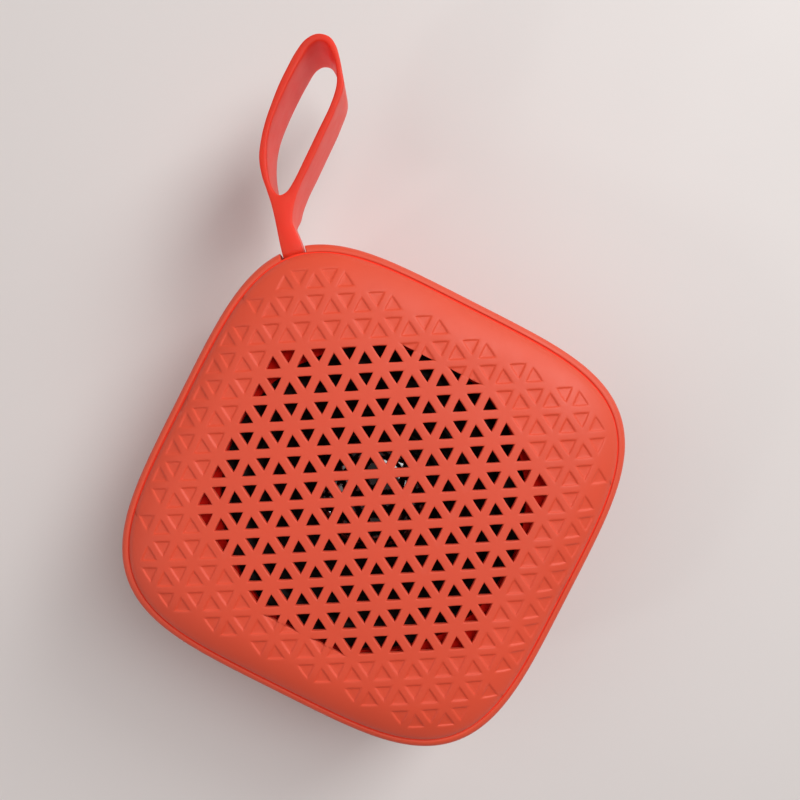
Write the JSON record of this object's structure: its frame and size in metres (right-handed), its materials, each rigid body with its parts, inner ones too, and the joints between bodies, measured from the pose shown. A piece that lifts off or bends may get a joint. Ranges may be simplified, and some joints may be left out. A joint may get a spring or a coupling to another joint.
{
  "type": "portable bluetooth speaker",
  "caption": "Rounded-square portable speaker with a triangular-lattice grille over a round driver, side keys and ports, and a silicone carry loop on one corner.",
  "frame": {"origin": "centre of the underside of the rubber pad on the back, which the speaker rests on", "axes": "+Z from the back towards the grille, +Y towards the side with the keys and ports, in the long direction of the speaker and its carry loop"},
  "size_m": [0.096, 0.1194, 0.04],
  "materials": {
    "case_plastic": "fine matte texture",
    "baffle_plastic": "matte",
    "key_plastic": "soft matte",
    "strap_silicone": "translucent satin silicone",
    "pad_rubber": "fine matte",
    "steel": "zinc plated",
    "basket_paint": "satin black",
    "cone_film": "gloss",
    "surround_rubber": "satin",
    "spider_cloth": "resin-treated cloth",
    "copper": "enamelled winding",
    "ferrite": "ground ferrite",
    "foam": "open foam",
    "board": "solder mask",
    "dark_plastic": "moulded",
    "pale_plastic": "moulded",
    "light_plastic": "clear",
    "capacitor_sleeve": "sleeve",
    "cell_wrap": "foil pouch",
    "terminal_board": "laminate",
    "wire_red": "insulation",
    "wire_black": "insulation"
  },
  "bodies": {
    "root": {"front_cover": "case_plastic", "rear_shell": "case_plastic", "back_pad": "pad_rubber", "strap_anchor": "strap_silicone", "strap_pin": "steel", "baffle": "baffle_plastic", "driver_basket": "basket_paint", "driver_gasket": "foam", "surround": "surround_rubber", "spider": "spider_cloth", "top_plate": "steel", "magnet": "ferrite", "yoke": "steel", "terminal_strip": "terminal_board", "main_pcb": "board", "radio_module": "steel", "amplifier_chip": "dark_plastic", "capacitor": "capacitor_sleeve", "battery_connector": "pale_plastic", "usb_socket": "steel", "audio_jack": "dark_plastic", "card_slot": "steel", "switch_body": "steel", "status_led": "light_plastic", "light_pipe": "light_plastic", "microphone": "steel", "battery_cell": "cell_wrap", "battery_foam": "foam", "battery_wire_red": "wire_red", "battery_wire_black": "wire_black", "driver_wire_red": "wire_red", "driver_wire_black": "wire_black", "tact_switch_phone": "dark_plastic", "tact_switch_minus": "dark_plastic", "tact_switch_plus": "dark_plastic", "tact_switch_play": "dark_plastic", "case_screw_1": "steel", "driver_screw_1": "steel", "case_screw_2": "steel", "driver_screw_2": "steel", "case_screw_3": "steel", "driver_screw_3": "steel", "case_screw_4": "steel", "driver_screw_4": "steel"},
    "strap": {"strap_loop": "strap_silicone"},
    "cone": {"cone": "cone_film", "dust_cap": "cone_film", "voice_coil": "copper"},
    "power_switch": {"switch_knob": "dark_plastic"},
    "phone_button": {"tact_plunger_phone": "pale_plastic", "key_phone": "key_plastic"},
    "minus_button": {"tact_plunger_minus": "pale_plastic", "key_minus": "key_plastic"},
    "plus_button": {"tact_plunger_plus": "pale_plastic", "key_plus": "key_plastic"},
    "play_button": {"tact_plunger_play": "pale_plastic", "key_play": "key_plastic"}
  },
  "joints": [
    {"name": "strap_bend", "type": "hinge", "parent": "root", "child": "strap", "pos_m": [-0.0357, 0.0357, 0.0315], "axis": [0, 0, 1], "range_deg": [-18, 18], "stiffness_Nm_per_rad": 0.02},
    {"name": "phone_press", "type": "slide", "parent": "root", "child": "phone_button", "axis": [0, -1, 0], "range_m": [0, 0.00035], "stiffness_N_per_m": 400},
    {"name": "minus_press", "type": "slide", "parent": "root", "child": "minus_button", "axis": [0, -1, 0], "range_m": [0, 0.00035], "stiffness_N_per_m": 400},
    {"name": "plus_press", "type": "slide", "parent": "root", "child": "plus_button", "axis": [0, -1, 0], "range_m": [0, 0.00035], "stiffness_N_per_m": 400},
    {"name": "play_press", "type": "slide", "parent": "root", "child": "play_button", "axis": [0, -1, 0], "range_m": [0, 0.00035], "stiffness_N_per_m": 400},
    {"name": "power_slide", "type": "slide", "parent": "root", "child": "power_switch", "axis": [1, 0, 0], "range_m": [0, 0.002]},
    {"name": "cone_travel", "type": "slide", "parent": "root", "child": "cone", "axis": [0, 0, 1], "range_m": [-0.001, 0.001], "stiffness_N_per_m": 1000, "deforming": ["surround", "spider"]}
  ]
}
